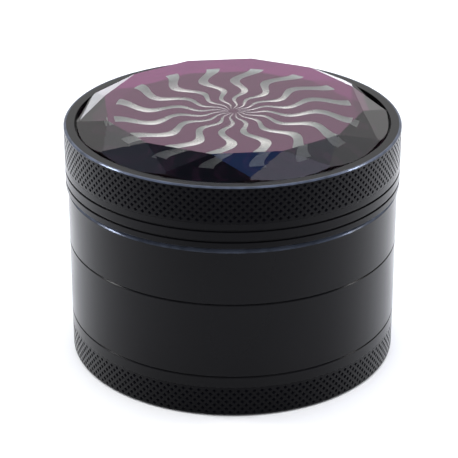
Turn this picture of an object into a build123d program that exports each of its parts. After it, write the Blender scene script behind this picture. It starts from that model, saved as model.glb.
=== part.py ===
"""Four-piece hand grinder with a faceted glass top.

A magnetic lid turns on a toothed grinding chamber. The chamber screws into a storage ring
with a sifting screen, and the storage ring screws into a shallow base that catches the powder.
Millimetres, +Z up, origin at the centre of the base's flat underside.
"""
import math
import os

from build123d import *

# ---------------------------------------------------------------- driving dimensions
BODY_RADIUS = 31.1          # chamber, storage ring and base
LID_RADIUS = 31.5
BASE_TOP = 8.15             # seam between base and storage ring
STORAGE_TOP = 22.8          # seam between storage ring and chamber
SHOULDER = 33.7             # chamber's outer shoulder, just under the lid
LID_BOTTOM = 33.95
LID_TOP = 45.8
GLASS_TOP = 48.9
FLOOR_THICKNESS = 1.6       # floor of the base
KNURL_DEPTH = 0.35          # a knurled band is drawn at the root of its knurl
BASE_KNURL_BOTTOM = 0.35
BASE_KNURL_TOP = 5.95
LID_KNURL_BOTTOM = 38.85
LID_KNURL_TOP = 45.55
EDGE = 0.2                  # broken edge on turned parts
RUNNING_FIT = 0.07          # radial clearance of pieces that turn on each other
CLAMP_CLEARANCE = 0.03      # axial clearance between the screen's rim and the ring above it

# Screw threads between base, storage ring and chamber
THREAD_PITCH = 1.5
THREAD_ROOT = 28.0          # root radius of the male threads
THREAD_BORE = 28.8          # root radius of the female threads
THREAD_HEIGHT = 0.6         # how far a ridge stands out from its root
THREAD_HALF_BASE = 0.42     # half the width of a ridge at its root
THREAD_HALF_CREST = 0.2     # half the width of a ridge at its crest
THREAD_FOOT = 0.15          # how far a ridge's foot lies inside its root
THREAD_RISE = 2.7           # height that one ridge climbs
THREAD_LEAD_IN = 0.75       # from the end of a neck to the start of its ridge
NECK_LENGTH = 3.7           # length of a threaded neck below its seam
NECK_GAP = 0.25             # free space under the end of a seated neck

# Grinding chamber and lid inside
CHAMBER_FLOOR = 25.6
CHAMBER_FLOOR_UNDERSIDE = 22.6
CHAMBER_BORE = 27.4
COLLAR_RADIUS = 28.9        # collar on the chamber that the lid turns on
COLLAR_TOP = 38.7
LID_BORE = 29.4
LID_PLATE = 39.35           # underside of the lid's plate
GLASS_SEAT = 43.8           # floor of the recess that holds the glass
GLASS_RECESS_RADIUS = 29.45

# Teeth stand in rings, by turns on the chamber and on the lid, so that the lid turns freely
TOOTH_HALF_WIDTH = 1.3
TOOTH_HALF_LENGTH = 2.2
TOOTH_TIP = 0.6
CHAMBER_TOOTH_TOP = 37.6
LID_TOOTH_BOTTOM = 26.4
INNER_RING = 7.5
RING_STEP = 3.65
CHAMBER_INNER_TEETH = 6     # every ring further out on the same piece has four more teeth
LID_INNER_TEETH = 8
SIEVE_HOLE_RADIUS = 1.75
OUTER_HOLE_RADIUS = 1.5
OUTER_HOLE_RING = 25.0

BOSS_RADIUS = 4.6
CHAMBER_BOSS_TOP = 31.0
LID_BOSS_BOTTOM = 31.4
MAGNET_RADIUS = 3.5
MAGNET_THICKNESS = 2.5
MAGNET_RECESS = 0.1

# Glass, foil and adhesive in the lid
GLASS_RADIUS = 29.0
GLASS_BOTTOM = 44.3
FOIL_THICKNESS = 0.15
FOIL_RADIUS = 28.6
TABLE_RADIUS = 24.3         # corners of the twelve-sided top facet
GIRDLE_RADIUS = 28.7        # where the points of the star facets meet the rim
GIRDLE_HEIGHT = 46.45
FACETS = 12
FACET_TURN = 6.2            # how the facets are turned about the axis, in degrees

# Sifting screen between storage ring and base
SCREEN_SEAT = 9.0
SCREEN_SEAT_RADIUS = 27.2
STORAGE_BORE = 28.0
LEDGE_BORE = 25.2
FRAME_THICKNESS = 0.6
FRAME_INNER_RADIUS = 25.9
SCREEN_THICKNESS = 0.2
SCREEN_RADIUS = 26.6
RETAINER_HEIGHT = 1.3

os.makedirs("parts", exist_ok=True)


def save(builder, node):
    """Label one finished piece and write it as its own STEP file."""
    builder.part.label = node
    export_step(builder.part, f"parts/{node}.step")


def revolve_profile(*points):
    """Turn a closed outline of (radius, height) points about the object's axis."""
    with BuildSketch(Plane.XZ) as outline:
        with BuildLine():
            Polyline(*points, close=True)
        make_face()
    revolve(outline.sketch, axis=Axis.Z)


def thread_ridge(root, start, outward):
    """Add one helical ridge to a cylinder: outward is 1 on a neck and -1 in a bore."""
    with BuildLine() as path:
        Helix(pitch=THREAD_PITCH, height=THREAD_RISE, radius=root, center=(0, 0, start))
    start_plane = Plane(origin=path.line @ 0, x_dir=(outward, 0, 0), z_dir=path.line % 0)
    with BuildSketch(start_plane) as section:
        with BuildLine():
            Polyline(
                (-THREAD_FOOT, -THREAD_HALF_BASE), (0, -THREAD_HALF_BASE),
                (THREAD_HEIGHT, -THREAD_HALF_CREST), (THREAD_HEIGHT, THREAD_HALF_CREST),
                (0, THREAD_HALF_BASE), (-THREAD_FOOT, THREAD_HALF_BASE), close=True,
            )
        make_face()
    sweep(section.sketch, path=path.line, is_frenet=True)


def male_thread(seam):
    """Ridge on the neck below a seam."""
    thread_ridge(THREAD_ROOT, seam - NECK_LENGTH + THREAD_LEAD_IN, 1)


def female_thread(seam):
    """Ridge in the bore below a seam, half a pitch away from the neck's ridge."""
    thread_ridge(THREAD_BORE, seam - NECK_LENGTH + THREAD_LEAD_IN - THREAD_PITCH / 2, -1)


def tooth_rings(first_radius, first_count, root, tip):
    """Three rings of diamond teeth from height root to height tip, with bevelled tips."""
    direction = math.copysign(1, tip - root)
    for height, length, taper in (
        (root, abs(tip - root) - TOOTH_TIP, 0),
        (tip - direction * TOOTH_TIP, TOOTH_TIP, 35),
    ):
        with BuildSketch(Plane(origin=(0, 0, height), x_dir=(1, 0, 0), z_dir=(0, 0, direction))) as teeth:
            for ring in range(3):
                count = first_count + 4 * ring
                radius = first_radius + 2 * RING_STEP * ring
                with PolarLocations(radius, count, start_angle=180 / count):
                    Polygon(
                        (TOOTH_HALF_WIDTH, 0), (0, TOOTH_HALF_LENGTH),
                        (-TOOTH_HALF_WIDTH, 0), (0, -TOOTH_HALF_LENGTH),
                    )
        extrude(teeth.sketch, amount=length, taper=taper)


# ---------------------------------------------------------------- base
neck_end_base = BASE_TOP - NECK_LENGTH
bowl_radius = 26.2

with BuildPart() as base:
    knurl_root = BODY_RADIUS - KNURL_DEPTH
    revolve_profile(
        (0, 0), (knurl_root - BASE_KNURL_BOTTOM, 0), (knurl_root, BASE_KNURL_BOTTOM),
        (knurl_root, BASE_KNURL_TOP), (BODY_RADIUS, BASE_KNURL_TOP),
        (BODY_RADIUS, BASE_TOP - EDGE), (BODY_RADIUS - EDGE, BASE_TOP),
        (THREAD_BORE, BASE_TOP), (THREAD_BORE, neck_end_base - NECK_GAP),
        (bowl_radius, neck_end_base - NECK_GAP), (bowl_radius, FLOOR_THICKNESS), (0, FLOOR_THICKNESS),
    )
    bowl_corner = base.edges().filter_by(GeomType.CIRCLE).filter_by(
        lambda edge: abs(edge.radius - bowl_radius) < 0.01 and edge.center().Z < FLOOR_THICKNESS + 0.1
    )
    fillet(bowl_corner, radius=2.0)
    female_thread(BASE_TOP)
save(base, "base_catcher")

# ---------------------------------------------------------------- storage ring and its screen
neck_end_storage = STORAGE_TOP - NECK_LENGTH
screen_seat_top = SCREEN_SEAT + FRAME_THICKNESS + RETAINER_HEIGHT + 0.4

with BuildPart() as storage:
    revolve_profile(
        (LEDGE_BORE, neck_end_base), (THREAD_ROOT - 0.3, neck_end_base),
        (THREAD_ROOT, neck_end_base + 0.3), (THREAD_ROOT, BASE_TOP), (BODY_RADIUS - EDGE, BASE_TOP),
        (BODY_RADIUS, BASE_TOP + EDGE), (BODY_RADIUS, STORAGE_TOP - EDGE),
        (BODY_RADIUS - EDGE, STORAGE_TOP), (THREAD_BORE, STORAGE_TOP),
        (THREAD_BORE, neck_end_storage - NECK_GAP), (STORAGE_BORE, neck_end_storage - NECK_GAP),
        (STORAGE_BORE, screen_seat_top), (SCREEN_SEAT_RADIUS, screen_seat_top),
        (SCREEN_SEAT_RADIUS, SCREEN_SEAT), (LEDGE_BORE, SCREEN_SEAT),
    )
    male_thread(BASE_TOP)
    female_thread(STORAGE_TOP)
save(storage, "storage_ring")

# The frame is folded round the edge of the screen, and the retainer keeps it on its ledge
screen_bottom = SCREEN_SEAT + (FRAME_THICKNESS - SCREEN_THICKNESS) / 2
screen_top = screen_bottom + SCREEN_THICKNESS
frame_top = SCREEN_SEAT + FRAME_THICKNESS
frame_radius = SCREEN_SEAT_RADIUS - 0.1

with BuildPart() as screen_frame:
    revolve_profile(
        (FRAME_INNER_RADIUS, SCREEN_SEAT), (frame_radius, SCREEN_SEAT), (frame_radius, frame_top),
        (FRAME_INNER_RADIUS, frame_top), (FRAME_INNER_RADIUS, screen_top), (SCREEN_RADIUS, screen_top),
        (SCREEN_RADIUS, screen_bottom), (FRAME_INNER_RADIUS, screen_bottom),
    )
save(screen_frame, "screen_frame")

with BuildPart() as screen:
    with BuildSketch(Plane.XY.offset(screen_bottom)):
        Circle(SCREEN_RADIUS)
    extrude(amount=SCREEN_THICKNESS)
save(screen, "sifting_screen")

with BuildPart() as retainer:
    retainer_radius = SCREEN_SEAT_RADIUS - RUNNING_FIT
    retainer_bottom = frame_top + CLAMP_CLEARANCE
    retainer_top = frame_top + RETAINER_HEIGHT
    revolve_profile(
        (FRAME_INNER_RADIUS, retainer_bottom), (retainer_radius, retainer_bottom),
        (retainer_radius, retainer_top - 0.3), (retainer_radius - 0.3, retainer_top),
        (FRAME_INNER_RADIUS, retainer_top),
    )
save(retainer, "screen_retaining_ring")

# ---------------------------------------------------------------- grinding chamber
neck_bore = 26.6
shoulder_chamfer = 0.6
collar_chamfer = 0.4
magnet_pocket = MAGNET_THICKNESS + MAGNET_RECESS

with BuildPart() as chamber:
    revolve_profile(
        (0, CHAMBER_FLOOR_UNDERSIDE), (neck_bore, CHAMBER_FLOOR_UNDERSIDE),
        (neck_bore, neck_end_storage), (THREAD_ROOT - 0.3, neck_end_storage),
        (THREAD_ROOT, neck_end_storage + 0.3), (THREAD_ROOT, STORAGE_TOP),
        (BODY_RADIUS - EDGE, STORAGE_TOP), (BODY_RADIUS, STORAGE_TOP + EDGE),
        (BODY_RADIUS, SHOULDER - shoulder_chamfer), (BODY_RADIUS - shoulder_chamfer, SHOULDER),
        (COLLAR_RADIUS, SHOULDER), (COLLAR_RADIUS, COLLAR_TOP - collar_chamfer),
        (COLLAR_RADIUS - collar_chamfer, COLLAR_TOP), (CHAMBER_BORE, COLLAR_TOP),
        (CHAMBER_BORE, CHAMBER_FLOOR), (BOSS_RADIUS, CHAMBER_FLOOR),
        (BOSS_RADIUS, CHAMBER_BOSS_TOP - EDGE), (BOSS_RADIUS - EDGE, CHAMBER_BOSS_TOP),
        (MAGNET_RADIUS, CHAMBER_BOSS_TOP), (MAGNET_RADIUS, CHAMBER_BOSS_TOP - magnet_pocket),
        (0, CHAMBER_BOSS_TOP - magnet_pocket),
    )
    male_thread(STORAGE_TOP)
    tooth_rings(INNER_RING, CHAMBER_INNER_TEETH, CHAMBER_FLOOR, CHAMBER_TOOTH_TOP)
    # Ground material falls through rings of holes, which lie under the lid's teeth
    with BuildSketch(Plane.XY.offset(CHAMBER_FLOOR_UNDERSIDE)):
        with PolarLocations(INNER_RING + RING_STEP, 12):
            Circle(SIEVE_HOLE_RADIUS)
        with PolarLocations(INNER_RING + 3 * RING_STEP, 20):
            Circle(SIEVE_HOLE_RADIUS)
        with PolarLocations(OUTER_HOLE_RING, 28):
            Circle(OUTER_HOLE_RADIUS)
    extrude(amount=CHAMBER_FLOOR - CHAMBER_FLOOR_UNDERSIDE, mode=Mode.SUBTRACT)
save(chamber, "grinding_chamber")

with BuildPart() as chamber_magnet:
    with BuildSketch(Plane.XY.offset(CHAMBER_BOSS_TOP - magnet_pocket)):
        Circle(MAGNET_RADIUS - RUNNING_FIT)
    extrude(amount=MAGNET_THICKNESS)
    chamfer(chamber_magnet.edges().filter_by(GeomType.CIRCLE), length=0.15)
save(chamber_magnet, "chamber_magnet")

# ---------------------------------------------------------------- slip ring under the lid
slip_inner = COLLAR_RADIUS + RUNNING_FIT
slip_outer = LID_BORE - RUNNING_FIT
slip_bottom = 35.2

with BuildPart() as slip_ring:
    revolve_profile(
        (slip_inner, slip_bottom), (slip_outer, slip_bottom), (slip_outer, LID_PLATE),
        (CHAMBER_BORE + 0.2, LID_PLATE), (CHAMBER_BORE + 0.2, COLLAR_TOP), (slip_inner, COLLAR_TOP),
    )
save(slip_ring, "slip_ring")

# ---------------------------------------------------------------- lid
groove_depth = 0.3
groove_half_width = 0.25
groove_floor_half_width = 0.1
groove_heights = (35.4, 37.46)


def groove_points(height):
    """Profile points, from below to above, of one turned groove round the lid."""
    return (
        (LID_RADIUS, height - groove_half_width),
        (LID_RADIUS - groove_depth, height - groove_floor_half_width),
        (LID_RADIUS - groove_depth, height + groove_floor_half_width),
        (LID_RADIUS, height + groove_half_width),
    )


with BuildPart() as lid:
    knurl_root = LID_RADIUS - KNURL_DEPTH
    revolve_profile(
        (0, LID_BOSS_BOTTOM + magnet_pocket), (MAGNET_RADIUS, LID_BOSS_BOTTOM + magnet_pocket),
        (MAGNET_RADIUS, LID_BOSS_BOTTOM), (BOSS_RADIUS - EDGE, LID_BOSS_BOTTOM),
        (BOSS_RADIUS, LID_BOSS_BOTTOM + EDGE), (BOSS_RADIUS, LID_PLATE), (LID_BORE, LID_PLATE),
        (LID_BORE, LID_BOTTOM), (LID_RADIUS - EDGE, LID_BOTTOM), (LID_RADIUS, LID_BOTTOM + EDGE),
        *groove_points(groove_heights[0]), *groove_points(groove_heights[1]),
        (LID_RADIUS, LID_KNURL_BOTTOM), (knurl_root, LID_KNURL_BOTTOM), (knurl_root, LID_KNURL_TOP),
        (LID_RADIUS, LID_KNURL_TOP), (LID_RADIUS, LID_TOP - EDGE),
        (LID_RADIUS - EDGE, LID_TOP), (GLASS_RECESS_RADIUS, LID_TOP),
        (GLASS_RECESS_RADIUS, GLASS_SEAT), (0, GLASS_SEAT),
    )
    tooth_rings(INNER_RING + RING_STEP, LID_INNER_TEETH, LID_PLATE, LID_TOOTH_BOTTOM)
save(lid, "lid")

with BuildPart() as lid_magnet:
    with BuildSketch(Plane.XY.offset(LID_BOSS_BOTTOM + MAGNET_RECESS)):
        Circle(MAGNET_RADIUS - RUNNING_FIT)
    extrude(amount=MAGNET_THICKNESS)
    chamfer(lid_magnet.edges().filter_by(GeomType.CIRCLE), length=0.15)
save(lid_magnet, "lid_magnet")

# ---------------------------------------------------------------- glass top and what holds it
foil_bottom = GLASS_BOTTOM - FOIL_THICKNESS

with BuildPart() as adhesive:
    with BuildSketch(Plane.XY.offset(GLASS_SEAT)):
        Circle(FOIL_RADIUS)
    extrude(amount=foil_bottom - GLASS_SEAT)
save(adhesive, "glass_adhesive")

with BuildPart() as foil:
    with BuildSketch(Plane.XY.offset(foil_bottom)):
        Circle(FOIL_RADIUS)
    extrude(amount=FOIL_THICKNESS)
save(foil, "decor_foil")


def facet_plane(angle, inner_radius, outer_radius):
    """Plane that falls from the table at inner_radius to the girdle points at outer_radius."""
    fall = math.atan2(GLASS_TOP - GIRDLE_HEIGHT, outer_radius - inner_radius)
    normal = Vector(math.sin(fall), 0, math.cos(fall)).rotate(Axis.Z, angle)
    origin = Vector(inner_radius, 0, GLASS_TOP).rotate(Axis.Z, angle)
    return Plane(origin=origin, z_dir=normal)


with BuildPart() as glass:
    with BuildSketch(Plane.XY.offset(GLASS_BOTTOM)):
        Circle(GLASS_RADIUS)
    extrude(amount=GLASS_TOP - GLASS_BOTTOM)
    facet_angle = 360 / FACETS
    half_facet = math.cos(math.radians(facet_angle / 2))
    for facet in range(FACETS):
        star_angle = FACET_TURN - 90 + facet * facet_angle
        kite_angle = star_angle + facet_angle / 2
        # A star facet hangs from one side of the table, a kite facet from one of its corners
        split(bisect_by=facet_plane(star_angle, TABLE_RADIUS * half_facet, GIRDLE_RADIUS),
              keep=Keep.BOTTOM)
        split(bisect_by=facet_plane(kite_angle, TABLE_RADIUS, GIRDLE_RADIUS * half_facet),
              keep=Keep.BOTTOM)
save(glass, "faceted_glass")
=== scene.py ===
"""Looks of a four-piece grinder with a faceted glass lid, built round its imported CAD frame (metres)."""
import math
import random

import bpy
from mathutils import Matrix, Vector


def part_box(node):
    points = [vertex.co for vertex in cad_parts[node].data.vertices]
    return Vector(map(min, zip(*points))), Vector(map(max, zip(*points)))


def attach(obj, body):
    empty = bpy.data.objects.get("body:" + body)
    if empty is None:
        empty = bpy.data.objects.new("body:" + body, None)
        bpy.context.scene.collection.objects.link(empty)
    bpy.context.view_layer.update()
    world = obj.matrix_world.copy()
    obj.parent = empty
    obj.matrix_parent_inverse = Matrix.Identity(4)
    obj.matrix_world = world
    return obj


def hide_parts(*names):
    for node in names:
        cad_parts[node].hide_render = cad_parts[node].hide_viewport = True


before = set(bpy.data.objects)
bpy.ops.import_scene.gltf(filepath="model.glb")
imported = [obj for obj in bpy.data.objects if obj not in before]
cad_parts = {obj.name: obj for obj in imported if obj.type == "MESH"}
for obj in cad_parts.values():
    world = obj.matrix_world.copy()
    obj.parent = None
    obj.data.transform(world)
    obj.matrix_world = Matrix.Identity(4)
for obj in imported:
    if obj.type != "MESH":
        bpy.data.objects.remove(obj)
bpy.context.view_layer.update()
random.seed(16)

MM = 0.001
SHOULDER = 33.7 * MM        # the chamber's outer shoulder under the lid
LID_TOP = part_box("lid")[1].z
LID_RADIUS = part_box("lid")[1].x
BODY_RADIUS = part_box("base_catcher")[1].x
FLOOR_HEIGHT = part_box("base_catcher")[0].z
OBJECT_MIDDLE = (0, 0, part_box("faceted_glass")[1].z / 2)
foil_low, foil_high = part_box("decor_foil")


# ---------------------------------------------------------------- camera
def add_camera():
    """Camera at the height, distance and downward angle from which the object is seen."""
    data = bpy.data.cameras.new("camera")
    data.sensor_width = 36
    data.lens = 146.0
    data.clip_start = 0.01
    camera = bpy.data.objects.new("camera", data)
    camera.location = (0, -321.7 * MM, 176.1 * MM)
    downward = math.radians(25.45)
    leftward = math.radians(0.12)
    camera.rotation_euler = (math.pi / 2 - downward, 0, leftward)
    bpy.context.scene.collection.objects.link(camera)
    bpy.context.scene.camera = camera


# ---------------------------------------------------------------- node helpers
class NodeTree:
    """Short ways to add and link the nodes of a material or of the world."""

    def __init__(self, tree):
        self.nodes = tree.nodes
        self.links = tree.links

    def node(self, kind, **values):
        """Add a node; names in values are its properties, or its inputs by name."""
        made = self.nodes.new(kind)
        for name, value in values.items():
            if hasattr(made, name):
                setattr(made, name, value)
            else:
                made.inputs[name.replace("_", " ")].default_value = value
        return made

    def feed(self, socket, value):
        """Link another node's output to a socket, or set the socket to a plain value."""
        if isinstance(value, bpy.types.NodeSocket):
            self.links.new(value, socket)
        elif value is not None:
            socket.default_value = value

    def math(self, operation, first, second=None, clamp=False):
        made = self.node("ShaderNodeMath", operation=operation, use_clamp=clamp)
        for socket, value in zip(made.inputs, (first, second)):
            self.feed(socket, value)
        return made.outputs[0]

    def remap(self, value, low, high, to_low, to_high):
        made = self.node("ShaderNodeMapRange")
        for socket, number in zip(made.inputs, (value, low, high, to_low, to_high)):
            self.feed(socket, number)
        return made.outputs[0]

    def mix(self, factor, first, second, blend_type="MIX"):
        """Mix or add two colours, which are the node's inputs 6 and 7."""
        made = self.node("ShaderNodeMix", data_type="RGBA", blend_type=blend_type)
        self.feed(made.inputs[0], factor)
        self.feed(made.inputs[6], first)
        self.feed(made.inputs[7], second)
        return made.outputs[2]

    def ramp(self, value, steps):
        """A colour ramp over a value, through (position, colour) steps."""
        made = self.node("ShaderNodeValToRGB")
        self.feed(made.inputs[0], value)
        elements = made.color_ramp.elements
        elements.remove(elements[1])
        elements[0].position, elements[0].color = steps[0]
        for position, color in steps[1:]:
            elements.new(position).color = color
        return made.outputs[0]

    def coordinates(self, kind):
        return self.node("ShaderNodeTexCoord").outputs[kind]

    def split(self, vector):
        """The x, y and z of a vector."""
        made = self.node("ShaderNodeSeparateXYZ")
        self.links.new(vector, made.inputs[0])
        return tuple(made.outputs)


class Shader(NodeTree):
    """A material's node tree round one Principled shader."""

    def __init__(self, name, color=(0.8, 0.8, 0.8), metallic=0.0, roughness=0.4, ior=1.5):
        self.material = bpy.data.materials.new(name)
        self.material.use_nodes = True
        super().__init__(self.material.node_tree)
        self.inputs = self.nodes["Principled BSDF"].inputs
        self.inputs["Base Color"].default_value = (*color, 1)
        self.inputs["Metallic"].default_value = metallic
        self.inputs["Roughness"].default_value = roughness
        self.inputs["IOR"].default_value = ior

    def drive(self, name, value):
        """Feed one of the shader's own sockets from another node's output."""
        self.links.new(value, self.inputs[name])

    def position(self):
        """Object coordinates, which are the frame's own."""
        return self.coordinates("Object")

    def noise(self, vector, scale, detail=3.0):
        made = self.node("ShaderNodeTexNoise", Scale=scale, Detail=detail, Roughness=0.55)
        self.links.new(vector, made.inputs["Vector"])
        return made.outputs[0]

    def bump(self, height, strength, distance, edge_radius=0):
        """Relief of a texture; edge_radius also rounds the sharp edges in the shading."""
        made = self.node("ShaderNodeBump", Strength=strength, Distance=distance)
        if edge_radius:
            rounded = self.node("ShaderNodeBevel", samples=4, Radius=edge_radius)
            self.links.new(rounded.outputs[0], made.inputs["Normal"])
        self.links.new(height, made.inputs["Height"])
        self.drive("Normal", made.outputs[0])

    def turned(self, across, around):
        """Coordinates that stretch a texture into fine lines round the axis, as a lathe leaves.

        The radius and the height come with them."""
        x, y, z = self.split(self.position())
        squares = self.math("ADD", self.math("MULTIPLY", x, x), self.math("MULTIPLY", y, y))
        radius = self.math("SQRT", squares)
        joined = self.node("ShaderNodeCombineXYZ")
        self.links.new(self.math("MULTIPLY", radius, across), joined.inputs[0])
        self.links.new(self.math("MULTIPLY", z, across), joined.inputs[1])
        self.links.new(self.math("MULTIPLY", self.math("ARCTAN2", y, x), around), joined.inputs[2])
        return joined.outputs[0], radius, z


# ---------------------------------------------------------------- materials
def anodised_material(name, head_on, edge=None):
    """Black anodised metal with lathe lines, faint smudges and a worn edge, partly real wear and partly a
    painted bluish highlight.

    head_on is the specular level seen head on; edge gives the lowest z, highest z and
    smallest radius of the edge that is worn and carries the painted highlight."""
    dark_film, light_film = (0.0015, 0.0015, 0.002, 1), (0.0035, 0.0033, 0.0042, 1)
    worn_metal_and_painted_highlight = (0.11, 0.13, 0.18, 1)
    along_surface = 0.62        # specular level seen along the surface
    shader = Shader(name, roughness=0.16, ior=1.27)
    lines, radius, z = shader.turned(across=9000, around=3)
    line_noise = shader.noise(lines, scale=1.0, detail=4)
    smudges = shader.noise(shader.position(), scale=70, detail=5)
    grain = shader.noise(shader.position(), scale=9000, detail=2)
    smudge_roughness = shader.remap(smudges, 0.3, 0.7, 0.11, 0.2)
    line_roughness = shader.remap(line_noise, 0.3, 0.7, 0, 0.06)
    shader.drive("Roughness", shader.math("ADD", smudge_roughness, line_roughness))
    # The black film reflects less head on than along its surface
    facing = shader.node("ShaderNodeLayerWeight", Blend=0.5).outputs["Facing"]
    shader.drive("Specular IOR Level", shader.remap(facing, 0.1, 0.6, head_on, along_surface))
    color = shader.mix(smudges, dark_film, light_film)
    if edge:
        # The edge turns towards a bluish metal: partly real wear, partly a painted highlight line
        wear_and_painted_highlight = edge_wear_and_painted_highlight(shader, radius, z, *edge)
        color = shader.mix(wear_and_painted_highlight, color, worn_metal_and_painted_highlight)
        shader.drive("Metallic", shader.math("MULTIPLY", wear_and_painted_highlight, 0.6))
    shader.drive("Base Color", color)
    height = shader.math("ADD", shader.math("MULTIPLY", line_noise, 0.8), shader.math("MULTIPLY", grain, 0.4))
    shader.bump(height, strength=0.12, distance=0.004 * MM, edge_radius=0.15 * MM)
    return shader.material


def edge_wear_and_painted_highlight(shader, radius, z, low, high, smallest_radius):
    """Patchy wear with a painted highlight, strongest half way between two heights and only outside a radius.
    """
    off_middle = shader.math("ABSOLUTE", shader.math("SUBTRACT", z, (low + high) / 2))
    near = shader.math("SUBTRACT", 1, shader.math("DIVIDE", off_middle, (high - low) / 2), clamp=True)
    worn_and_highlit_band = shader.math("MULTIPLY", near, shader.math("GREATER_THAN", radius, smallest_radius))
    patches = shader.noise(shader.position(), scale=400, detail=4)
    strength = shader.remap(patches, 0.35, 0.6, 0.4, 1.0)
    return shader.math("MULTIPLY", shader.math("POWER", worn_and_highlit_band, 0.5), strength)


def pit_shade_material():
    """The knurl's pits: a shaded copy of the black metal that reflects hardly any light, as painted shade
    down in the pits.
    """
    shader = Shader("knurl_pits_painted_shade", roughness=0.7, ior=1.1)
    grain = shader.noise(shader.position(), scale=4000, detail=3)
    shader.drive("Base Color", shader.mix(grain, (0.001, 0.001, 0.0015, 1), (0.004, 0.004, 0.006, 1)))
    shader.bump(grain, strength=0.3, distance=0.01 * MM)
    return shader.material


def glass_material():
    """Clear polished glass with a trace of dust and handling marks."""
    shader = Shader("polished_glass", color=(0.985, 0.985, 0.99), roughness=0.0, ior=1.52)
    shader.inputs["Transmission Weight"].default_value = 1.0
    marks = shader.noise(shader.position(), scale=220, detail=6)
    shader.drive("Roughness", shader.remap(marks, 0.62, 0.8, 0.0, 0.05))
    return shader.material


def foil_material():
    """Plum mirror foil with a very fine grain."""
    shader = Shader("plum_mirror", metallic=1.0, roughness=0.1)
    tone = shader.noise(shader.position(), scale=900, detail=5)
    shader.drive("Base Color", shader.mix(tone, (0.125, 0.018, 0.08, 1), (0.16, 0.026, 0.105, 1)))
    grain = shader.noise(shader.position(), scale=5000, detail=2)
    shader.bump(grain, strength=0.05, distance=0.01 * MM)
    return shader.material


def wave_material():
    """Silver print with a painted highlight that comes and goes along each wave, and a fine brushed grain."""
    dull_silver, bright_silver = (0.26, 0.28, 0.27, 1), (1.0, 1.0, 0.94, 1)
    shader = Shader("silver_print", metallic=1.0, roughness=0.3)
    painted_shine = shader.node("ShaderNodeAttribute", attribute_name="painted_shine").outputs["Fac"]
    brushed = shader.noise(shader.position(), scale=2500, detail=4)
    factor = shader.math("ADD", painted_shine, shader.remap(brushed, 0.3, 0.7, -0.08, 0.08), clamp=True)
    # Painted highlight: dull silver turns near white where the ribbon's painted shine is high
    shader.drive("Base Color", shader.mix(factor, dull_silver, bright_silver))
    shader.drive("Roughness", shader.remap(painted_shine, 0, 1, 0.34, 0.2))
    shader.bump(brushed, strength=0.15, distance=0.02 * MM)
    return shader.material


def simple_material(name, color, second, metallic, roughness):
    """A small inner part's material: two close tones mixed by noise, and a fine bump."""
    shader = Shader(name, metallic=metallic, roughness=roughness)
    tone = shader.noise(shader.position(), scale=600, detail=4)
    shader.drive("Base Color", shader.mix(tone, (*color, 1), (*second, 1)))
    shader.drive("Roughness", shader.remap(tone, 0.3, 0.7, roughness * 0.8, roughness * 1.2))
    shader.bump(tone, strength=0.1, distance=0.02 * MM)
    return shader.material


def screen_material():
    """Fine woven steel wires: two crossed wave textures give the weave its colour and relief."""
    gap, wire = (0.04, 0.04, 0.04, 1), (0.62, 0.62, 0.6, 1)
    shader = Shader("woven_steel", metallic=1.0, roughness=0.35)
    wires = []
    for direction in ("X", "Y"):
        wave = shader.node("ShaderNodeTexWave", wave_type="BANDS", bands_direction=direction, Scale=650.0)
        shader.links.new(shader.position(), wave.inputs["Vector"])
        wires.append(wave.outputs["Fac"])
    weave = shader.math("MAXIMUM", *wires)
    shader.drive("Base Color", shader.mix(weave, gap, wire))
    shader.bump(weave, strength=0.6, distance=0.08 * MM)
    return shader.material


# ---------------------------------------------------------------- mesh helpers
def add_piece(name, vertices, faces, materials, body):
    """Make a mesh object that rides on a body."""
    mesh = bpy.data.meshes.new(name)
    mesh.from_pydata(vertices, [], faces)
    for material in materials:
        mesh.materials.append(material)
    piece = bpy.data.objects.new(name, mesh)
    bpy.context.scene.collection.objects.link(piece)
    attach(piece, body)
    return piece


def on_cylinder(radius, angle, height):
    return (radius * math.cos(angle), radius * math.sin(angle), height)


# ---------------------------------------------------------------- knurled bands
KNURL_COLUMNS = 135         # pits round the ring in each row
HALF_PITCH = math.pi / KNURL_COLUMNS
PIT_DEPTH = 0.28 * MM
PIT_SHARE = 0.56            # how much of its lattice diamond a pit takes up
KNURL_WALL = 0.35 * MM      # from the ring's outside to the metal behind it


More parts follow.
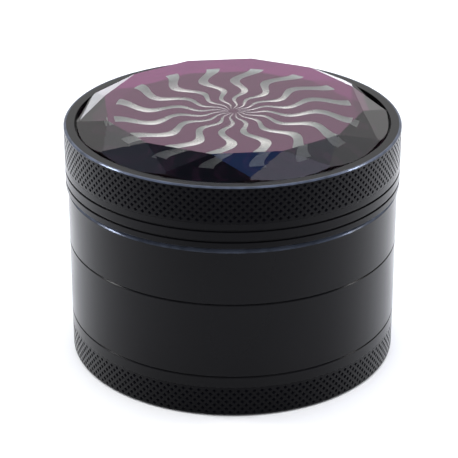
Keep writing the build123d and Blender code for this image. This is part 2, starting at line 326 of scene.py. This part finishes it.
class Knurl:
    """Mesh of a closed ring whose outside is a lattice of pyramid-shaped pits in staggered rows."""

    def __init__(self, radius, low, high, rows, first_row, row_step):
        self.radius = radius
        self.low, self.high = low, high
        self.rows = rows
        self.first_row, self.row_step = first_row, row_step
        self.vertices = []
        self.faces = []
        self.pit_faces = []
        self.corner_index = {}
        for row in range(rows):
            for column in range(KNURL_COLUMNS):
                self.add_pit(row, column)
        self.add_ends_and_inside()

    def add_vertex(self, radius, half_steps, height):
        """Add a vertex at an angle counted in half pitches, and return its index."""
        self.vertices.append(on_cylinder(radius, half_steps * HALF_PITCH, height))
        return len(self.vertices) - 1

    def level_height(self, level):
        """Height of a level of the lattice, kept between the ring's ends."""
        return min(max(self.first_row + level * self.row_step, self.low), self.high)

    def corner(self, level, half_steps):
        """Index of the lattice corner at a level, counted in half pitches round the ring."""
        key = (level, half_steps % (2 * KNURL_COLUMNS))
        if key not in self.corner_index:
            self.corner_index[key] = self.add_vertex(self.radius, key[1], self.level_height(level))
        return self.corner_index[key]

    def add_pit(self, row, column):
        """A diamond-shaped frame of land round a four-sided pit."""
        middle = 2 * column + row % 2
        height = self.first_row + row * self.row_step
        outer, inner = [], []
        for turn, level in ((-1, row), (0, row - 1), (1, row), (0, row + 1)):
            outer.append(self.corner(level, middle + turn))
        for turn, level in ((-1, row), (0, row - 1), (1, row), (0, row + 1)):
            rise = self.level_height(level) - height if turn == 0 else 0
            inner.append(self.add_vertex(self.radius, middle + turn * PIT_SHARE, height + rise * PIT_SHARE))
        bottom = self.add_vertex(self.radius - PIT_DEPTH, middle, height)
        for side in range(4):
            following = (side + 1) % 4
            self.faces.append((outer[side], outer[following], inner[following], inner[side]))
            self.pit_faces.append(len(self.faces))
            self.faces.append((inner[side], inner[following], bottom))

    def add_ends_and_inside(self):
        """Close the ring: its ends and inside lie against the metal that it belongs to."""
        last, last_start = self.rows - 1, (self.rows - 1) % 2
        inner_rings = []
        for level, start in ((-1, 0), (self.rows, last_start)):
            ring = []
            for column in range(KNURL_COLUMNS):
                height = self.level_height(level)
                ring.append(self.add_vertex(self.radius - KNURL_WALL, 2 * column + start, height))
            inner_rings.append(ring)
        low_ring, high_ring = inner_rings
        for column in range(KNURL_COLUMNS):
            following = (column + 1) % KNURL_COLUMNS
            below, above = 2 * column, 2 * column + last_start
            low_left, low_right = self.corner(-1, below), self.corner(-1, below + 2)
            high_left, high_right = self.corner(self.rows, above), self.corner(self.rows, above + 2)
            self.faces += [
                (low_left, low_right, self.corner(0, below + 1)),
                (high_right, high_left, self.corner(last, above + 1)),
                (low_right, low_left, low_ring[column], low_ring[following]),
                (high_left, high_right, high_ring[following], high_ring[column]),
                (low_ring[following], low_ring[column], high_ring[column], high_ring[following]),
            ]


def knurl_band(name, body, materials, **shape):
    """Add a knurled ring, with the metal as its first material and the pits' painted shade as its second."""
    knurl = Knurl(**shape)
    band = add_piece(name, knurl.vertices, knurl.faces, materials, body)
    for face in knurl.pit_faces:
        band.data.polygons[face].material_index = 1


# ---------------------------------------------------------------- foil and its waves
FOIL_LIFT = 0.03 * MM       # the print is bonded into the underside of the glass
FOIL_TOP = foil_high.z + FOIL_LIFT
FOIL_SEGMENTS = 192
FOIL_EDGE = 0.05 * MM       # the foil's broken edge


def foil_disc():
    """Mirror foil bonded to the glass, as a closed disc with a rounded edge."""
    radius = foil_high.x
    profile = ((radius - FOIL_EDGE, foil_low.z), (radius, foil_low.z + FOIL_EDGE),
               (radius, FOIL_TOP - FOIL_EDGE), (radius - FOIL_EDGE, FOIL_TOP))
    vertices = [(0, 0, foil_low.z), (0, 0, FOIL_TOP)]
    for reach, height in profile:
        for segment in range(FOIL_SEGMENTS):
            vertices.append(on_cylinder(reach, math.tau * segment / FOIL_SEGMENTS, height))
    faces = []
    for segment in range(FOIL_SEGMENTS):
        following = (segment + 1) % FOIL_SEGMENTS
        rings = []
        for row in range(len(profile)):
            start = 2 + row * FOIL_SEGMENTS
            rings.append((start + segment, start + following))
        faces.append((0, rings[0][1], rings[0][0]))
        for below, above in zip(rings, rings[1:]):
            faces.append((below[0], below[1], above[1], above[0]))
        faces.append((1, rings[-1][0], rings[-1][1]))
    piece = add_piece("mirror_foil", vertices, faces, [foil_material()], "lid")
    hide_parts("decor_foil")


WAVES = 16
WAVE_START = 1.0            # millimetres from the middle of the print
WAVE_END = 22.3
WAVE_CENTRE = (0.15, -0.35)  # the print sits a little off the axis
WAVE_TURN = 16.0            # degrees
WAVE_SWING = 5.5            # degrees to each side
WAVE_WIDTH = 7.0            # degrees, the same all along
WAVE_THICKNESS = 0.02 * MM
WAVE_CROWN = 0.02 * MM      # how much higher a ribbon is along its middle
WAVE_FOOT = 0.01 * MM       # how far a ribbon reaches into the foil
WAVE_STEPS = 90
WAVE_COLUMNS = 4            # faces across a ribbon


def swings(radius):
    """How many half waves a ribbon has made at a radius in millimetres: they grow outwards."""
    first, growth, inner = 2.5, 0.58, 2.8
    root = first ** 2 + 4 * growth * (radius - inner)
    return (math.sqrt(max(root, 0)) - first) / (2 * growth)


def ribbon_painted_shine(radius, bright_spot):
    """Painted highlight of a ribbon at a radius: high at its bright spot, at an inner one and in the middle.
    """
    inner_spot = bright_spot - 1.7
    spot_width = 0.5            # in half waves, as the places of the spots are
    count = swings(radius)
    painted_shine = 0.1 + 0.85 * math.exp(-((count - bright_spot) / spot_width) ** 2)
    painted_shine += 0.4 * math.exp(-((count - inner_spot) / spot_width) ** 2)
    painted_shine += 0.7 * math.exp(-(radius / 5) ** 2)
    return min(painted_shine, 1)


def ribbon_row(base_angle, radius):
    """Points across a ribbon's crowned top, at a radius in millimetres."""
    middle = base_angle - math.radians(WAVE_SWING) * math.cos(math.pi * swings(radius))
    row = []
    for side in range(WAVE_COLUMNS + 1):
        share = side / WAVE_COLUMNS * 2 - 1
        angle = middle + math.radians(WAVE_WIDTH / 2) * share
        height = FOIL_TOP + WAVE_THICKNESS + WAVE_CROWN * (1 - share ** 2)
        x, y, z = on_cylinder(radius * MM, angle, height)
        row.append((x + WAVE_CENTRE[0] * MM, y + WAVE_CENTRE[1] * MM, z))
    return row


def ribbon_faces(first):
    """Faces of a closed ribbon: from index first come its rows of points, then its foot's pairs."""
    across = WAVE_COLUMNS
    first_foot = first + (WAVE_STEPS + 1) * (across + 1)
    faces = []
    for step in range(WAVE_STEPS):
        row = first + step * (across + 1)
        for a in range(row, row + across):
            faces.append((a, a + across + 1, a + across + 2, a + 1))
        foot = first_foot + 2 * step
        faces.append((foot, foot + 2, row + across + 1, row))
        faces.append((foot + 3, foot + 1, row + across, row + 2 * across + 1))
        faces.append((foot, foot + 1, foot + 3, foot + 2))
    last_row = first + WAVE_STEPS * (across + 1)
    last_foot = first_foot + 2 * WAVE_STEPS
    faces.append((first_foot + 1, first_foot, *range(first, first + across + 1)))
    faces.append((last_foot, last_foot + 1, *range(last_row + across, last_row - 1, -1)))
    return faces


def silver_waves():
    """Silver ribbons that snake outwards from the middle and widen as they go."""
    foot_painted_shine = 0.3
    vertices, faces, painted_shines = [], [], []
    for wave in range(WAVES):
        base_angle = math.radians(WAVE_TURN + wave * 360 / WAVES)
        # The light falls from one side, so the bright spots lie further out towards it
        bright_spot = 2.65 - 0.45 * math.sin(base_angle) - 0.5 * math.cos(base_angle)
        bright_spot += random.uniform(-0.25, 0.25)
        faces += ribbon_faces(len(vertices))
        feet = []
        for step in range(WAVE_STEPS + 1):
            radius = WAVE_START + (WAVE_END - WAVE_START) * step / WAVE_STEPS
            row = ribbon_row(base_angle, radius)
            vertices += row
            painted_shines += [ribbon_painted_shine(radius, bright_spot)] * len(row)
            for x, y, _ in (row[0], row[-1]):
                feet.append((x, y, FOIL_TOP - WAVE_FOOT))
        vertices += feet
        painted_shines += [foot_painted_shine] * len(feet)
    piece = add_piece("silver_waves", vertices, faces, [wave_material()], "lid")
    # The painted highlight is stored on each point for the wave material
    attribute = piece.data.attributes.new("painted_shine", "FLOAT", "POINT")
    attribute.data.foreach_set("value", painted_shines)


# ---------------------------------------------------------------- studio
def add_floor():
    """A wide, plain, pale floor."""
    reach = 3.0
    mesh = bpy.data.meshes.new("floor")
    corners = [(-reach, -reach, 0), (reach, -reach, 0), (reach, reach, 0), (-reach, reach, 0)]
    mesh.from_pydata(corners, [], [(0, 1, 2, 3)])
    mesh.materials.append(Shader("floor", color=(0.93, 0.93, 0.93), roughness=0.7).material)
    floor = bpy.data.objects.new("floor", mesh)
    floor.location.z = FLOOR_HEIGHT
    bpy.context.scene.collection.objects.link(floor)


def add_area_light(name, location, size, power, color=(1, 1, 1), in_reflections=True):
    """A rectangular lamp that points at the object."""
    data = bpy.data.lights.new(name, "AREA")
    data.shape = "RECTANGLE"
    data.size, data.size_y = size
    data.energy = power
    data.color = color
    light = bpy.data.objects.new(name, data)
    light.location = location
    direction = Vector(OBJECT_MIDDLE) - Vector(location)
    light.rotation_euler = direction.to_track_quat("-Z", "Y").to_euler()
    light.visible_glossy = in_reflections
    light.visible_transmission = False
    bpy.context.scene.collection.objects.link(light)


def add_world():
    """Pale surroundings that are dim overhead, with a bright patch half way up at the back."""
    white, black = (1, 1, 1, 1), (0, 0, 0, 1)
    front_color = (0.72, 0.73, 0.76, 1)
    patch_glow = (1.15, 1.15, 1.15, 1)
    world = bpy.data.worlds.new("studio")
    bpy.context.scene.world = world
    world.use_nodes = True
    tree = NodeTree(world.node_tree)
    _, y, z = tree.split(tree.coordinates("Generated"))
    color = tree.ramp(z, ((0.36, (0.82, 0.82, 0.82, 1)), (0.6, (0.85, 0.86, 0.88, 1)),
                          (0.76, (0.42, 0.47, 0.62, 1)), (0.95, (0.08, 0.1, 0.15, 1))))
    in_front = tree.ramp(tree.math("SUBTRACT", 0.4, y), ((0.55, black), (0.75, white)))
    color = tree.mix(in_front, color, front_color)
    half_way_up = tree.ramp(z, ((0.56, black), (0.68, white), (0.8, white), (0.88, black)))
    at_back = tree.ramp(y, ((0.42, black), (0.53, white)))
    patch = tree.math("MULTIPLY", half_way_up, at_back)
    color = tree.mix(patch, color, patch_glow, blend_type="ADD")
    background = tree.nodes["Background"].inputs
    tree.links.new(color, background["Color"])
    background["Strength"].default_value = 1.0


def light_studio():
    add_world()
    add_area_light("top_softbox", (0, 0.1, 1.3), (2.4, 2.4), 30, in_reflections=False)
    # The glass facets at the front reflect these two
    add_area_light("blue_window", (0.065, 0.235, 0.83), (0.5, 0.4), 0.6, (0.14, 0.32, 0.98))
    add_area_light("right_softbox", (0.354, -0.01, 0.936), (0.3, 0.3), 0.45, (0.82, 0.8, 1.0))
    # Two small lamps make the short glints on the turned edges
    add_area_light("left_lamp", (-0.75, 0.15, 0.64), (0.16, 0.16), 2.2)
    add_area_light("right_lamp", (0.75, 0.15, 0.64), (0.16, 0.16), 1.5)
    bpy.context.scene.view_settings.view_transform = "Standard"


# ---------------------------------------------------------------- assembly
def paint(node, material):
    """Give a CAD node one material."""
    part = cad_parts[node]
    part.data.materials.clear()
    part.data.materials.append(material)


def paint_cad_nodes():
    # Edges that get worn metal with a painted bluish highlight line
    rim_edge = (LID_TOP - 0.4 * MM, LID_TOP + 0.2 * MM, LID_RADIUS - 0.5 * MM)
    shoulder_edge = (SHOULDER - 0.65 * MM, SHOULDER, BODY_RADIUS - 0.7 * MM)
    nickel = simple_material("nickel", (0.6, 0.58, 0.55), (0.75, 0.73, 0.7), 1, 0.22)
    steel = simple_material("pressed_steel", (0.5, 0.5, 0.49), (0.62, 0.62, 0.6), 1, 0.3)
    foam = simple_material("adhesive_foam", (0.02, 0.02, 0.02), (0.04, 0.04, 0.04), 0, 0.8)
    plastic = simple_material("white_slip_plastic", (0.72, 0.72, 0.7), (0.8, 0.8, 0.78), 0, 0.45)
    paint("lid", anodised_material("lid_metal", 0.18, rim_edge))
    paint("grinding_chamber", anodised_material("chamber_metal", 0.24, shoulder_edge))
    paint("storage_ring", anodised_material("storage_metal", 0.24))
    paint("base_catcher", anodised_material("base_metal", 0.24))
    paint("faceted_glass", glass_material())
    paint("glass_adhesive", foam)
    paint("lid_magnet", nickel)
    paint("chamber_magnet", nickel)
    paint("slip_ring", plastic)
    paint("screen_frame", steel)
    paint("screen_retaining_ring", steel)
    paint("sifting_screen", screen_material())


def polish_facet_edges():
    """The facets of the glass meet in fine polished edges."""
    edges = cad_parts["faceted_glass"].modifiers.new("facet_edges", "BEVEL")
    edges.width = 0.05 * MM
    edges.segments = 1
    edges.limit_method = "ANGLE"
    edges.angle_limit = math.radians(8)


add_camera()
light_studio()
add_floor()
paint_cad_nodes()
polish_facet_edges()
foil_disc()
silver_waves()
# The pits get a shaded copy of the metal: painted shade in the recesses
knurl_metal = [anodised_material("knurl_metal", 0.12), pit_shade_material()]
knurl_band("lid_knurl", "lid", knurl_metal, radius=LID_RADIUS, low=38.85 * MM, high=45.55 * MM,
           rows=9, first_row=39.45 * MM, row_step=0.715 * MM)
knurl_band("base_knurl", "base", knurl_metal, radius=BODY_RADIUS, low=0.35 * MM, high=5.95 * MM,
           rows=7, first_row=0.85 * MM, row_step=0.742 * MM)
